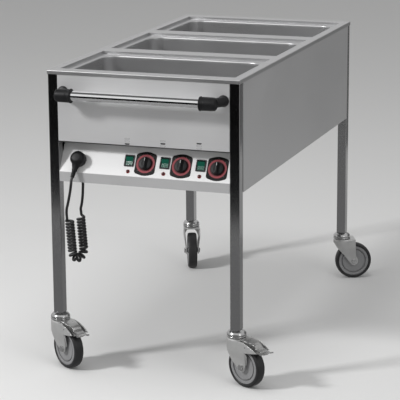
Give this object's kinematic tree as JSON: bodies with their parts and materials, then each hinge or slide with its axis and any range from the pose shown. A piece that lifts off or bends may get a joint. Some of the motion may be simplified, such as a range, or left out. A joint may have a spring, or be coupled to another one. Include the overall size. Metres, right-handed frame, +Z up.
{
  "type": "heated pan trolley",
  "caption": "Free-standing heated food trolley: sunk pan wells in a satin steel body, sloped control panel, push handle, curly cord with parked plug, square legs on braked swivel castors.",
  "frame": {"origin": "on the floor under the middle of the body, midway between the four swivel axes", "axes": "+X to the right seen from the control end, +Y from the control end to the rear, +Z up"},
  "size_m": [0.7233, 1.3218, 0.9],
  "materials": {
    "satin_steel": "satin stainless sheet",
    "leg_steel": "polished stainless tube",
    "well_steel": "drawn stainless",
    "fascia_steel": "fine satin stainless",
    "chrome": "bright chrome plate",
    "zinc": "bright zinc plate",
    "black_plastic": "moulded, fine grain",
    "black_gloss": "smooth moulded",
    "dial_print": "printed plate",
    "green_lens": "translucent moulded",
    "red_lens": "translucent moulded",
    "grey_core": "moulded",
    "tyre_rubber": "smooth tread",
    "cord_rubber": "smooth sheath",
    "brass": "turned",
    "ivory_plastic": "moulded",
    "fittings": "plain"
  },
  "bodies": {
    "root": {"top_deck": "satin_steel", "well_front": "well_steel", "well_middle": "well_steel", "well_rear": "well_steel", "front_panel": "satin_steel", "rear_panel": "satin_steel", "left_panel": "satin_steel", "right_panel": "satin_steel", "control_fascia": "fascia_steel", "bottom_cover": "satin_steel", "leg_front_left": "leg_steel", "leg_front_right": "leg_steel", "leg_rear_left": "leg_steel", "leg_rear_right": "leg_steel", "handle_tube": "chrome", "handle_bracket_left": "black_plastic", "handle_bracket_right": "black_plastic", "handle_screws": "zinc", "switch_housings": "black_gloss", "dial_plates": "dial_print", "thermostats": "ivory_plastic", "pilot_lamps": "red_lens", "heaters": "fittings", "drain_outlets": "fittings", "terminal_block": "ivory_plastic", "parking_socket": "black_plastic", "plug": "black_plastic", "plug_boot": "cord_rubber", "plug_pins": "brass", "cable_gland": "black_plastic", "cord_plug_tail": "cord_rubber", "cord_curl": "cord_rubber", "cord_gland_tail": "cord_rubber", "castor_stems": "zinc"},
    "castor_front_left": {"fork_front_left": "zinc", "axle_front_left": "zinc"},
    "wheel_front_left": {"wheel_core_front_left": "grey_core", "tyre_front_left": "tyre_rubber"},
    "brake_front_left": {"pedal_front_left": "zinc"},
    "castor_front_right": {"fork_front_right": "zinc", "axle_front_right": "zinc"},
    "wheel_front_right": {"wheel_core_front_right": "grey_core", "tyre_front_right": "tyre_rubber"},
    "brake_front_right": {"pedal_front_right": "zinc"},
    "castor_rear_left": {"fork_rear_left": "zinc", "axle_rear_left": "zinc"},
    "wheel_rear_left": {"wheel_core_rear_left": "grey_core", "tyre_rear_left": "tyre_rubber"},
    "castor_rear_right": {"fork_rear_right": "zinc", "axle_rear_right": "zinc"},
    "wheel_rear_right": {"wheel_core_rear_right": "grey_core", "tyre_rear_right": "tyre_rubber"},
    "knob_left": {"knob_left": "black_plastic"},
    "rocker_left": {"rocker_left": "green_lens"},
    "knob_middle": {"knob_middle": "black_plastic"},
    "rocker_middle": {"rocker_middle": "green_lens"},
    "knob_right": {"knob_right": "black_plastic"},
    "rocker_right": {"rocker_right": "green_lens"}
  },
  "joints": [
    {"name": "swivel_front_left", "type": "hinge", "parent": "root", "child": "castor_front_left", "pos_m": [-0.2785, -0.5835, 0.142], "axis": [0, 0, 1], "continuous": true},
    {"name": "spin_front_left", "type": "hinge", "parent": "castor_front_left", "child": "wheel_front_left", "pos_m": [-0.24451, -0.60643, 0.0625], "axis": [0.5592, 0.829, 0], "continuous": true},
    {"name": "brake_front_left", "type": "hinge", "parent": "castor_front_left", "child": "brake_front_left", "pos_m": [-0.2271, -0.61817, 0.128], "axis": [0.5592, 0.829, 0], "range_deg": [0, 6]},
    {"name": "swivel_front_right", "type": "hinge", "parent": "root", "child": "castor_front_right", "pos_m": [0.2785, -0.5835, 0.142], "axis": [0, 0, 1], "continuous": true},
    {"name": "spin_front_right", "type": "hinge", "parent": "castor_front_right", "child": "wheel_front_right", "pos_m": [0.31503, -0.60211, 0.0625], "axis": [0.454, 0.891, 0], "continuous": true},
    {"name": "brake_front_right", "type": "hinge", "parent": "castor_front_right", "child": "brake_front_right", "pos_m": [0.33374, -0.61165, 0.128], "axis": [0.454, 0.891, 0], "range_deg": [0, 6]},
    {"name": "swivel_rear_left", "type": "hinge", "parent": "root", "child": "castor_rear_left", "pos_m": [-0.2785, 0.5835, 0.142], "axis": [0, 0, 1], "continuous": true},
    {"name": "spin_rear_left", "type": "hinge", "parent": "castor_rear_left", "child": "wheel_rear_left", "pos_m": [-0.26248, 0.54576, 0.0625], "axis": [0.9205, 0.3907, 0], "continuous": true},
    {"name": "swivel_rear_right", "type": "hinge", "parent": "root", "child": "castor_rear_right", "pos_m": [0.2785, 0.5835, 0.142], "axis": [0, 0, 1], "continuous": true},
    {"name": "spin_rear_right", "type": "hinge", "parent": "castor_rear_right", "child": "wheel_rear_right", "pos_m": [0.31566, 0.60083, 0.0625], "axis": [-0.4226, 0.9063, 0], "continuous": true},
    {"name": "knob_turn_left", "type": "hinge", "parent": "root", "child": "knob_left", "pos_m": [0, -0.5825, 0.63808], "axis": [0, 0.8682, -0.4962], "range_deg": [0, 270]},
    {"name": "rocker_press_left", "type": "hinge", "parent": "root", "child": "rocker_left", "pos_m": [-0.0505, -0.56997, 0.63783], "axis": [-1, 0, 0], "range_deg": [0, 18]},
    {"name": "knob_turn_middle", "type": "hinge", "parent": "root", "child": "knob_middle", "pos_m": [0.11, -0.5825, 0.63808], "axis": [0, 0.8682, -0.4962], "range_deg": [0, 270]},
    {"name": "rocker_press_middle", "type": "hinge", "parent": "root", "child": "rocker_middle", "pos_m": [0.0595, -0.56997, 0.63783], "axis": [-1, 0, 0], "range_deg": [0, 18]},
    {"name": "knob_turn_right", "type": "hinge", "parent": "root", "child": "knob_right", "pos_m": [0.22, -0.5825, 0.63808], "axis": [0, 0.8682, -0.4962], "range_deg": [0, 270]},
    {"name": "rocker_press_right", "type": "hinge", "parent": "root", "child": "rocker_right", "pos_m": [0.1695, -0.56997, 0.63783], "axis": [-1, 0, 0], "range_deg": [0, 18]}
  ]
}
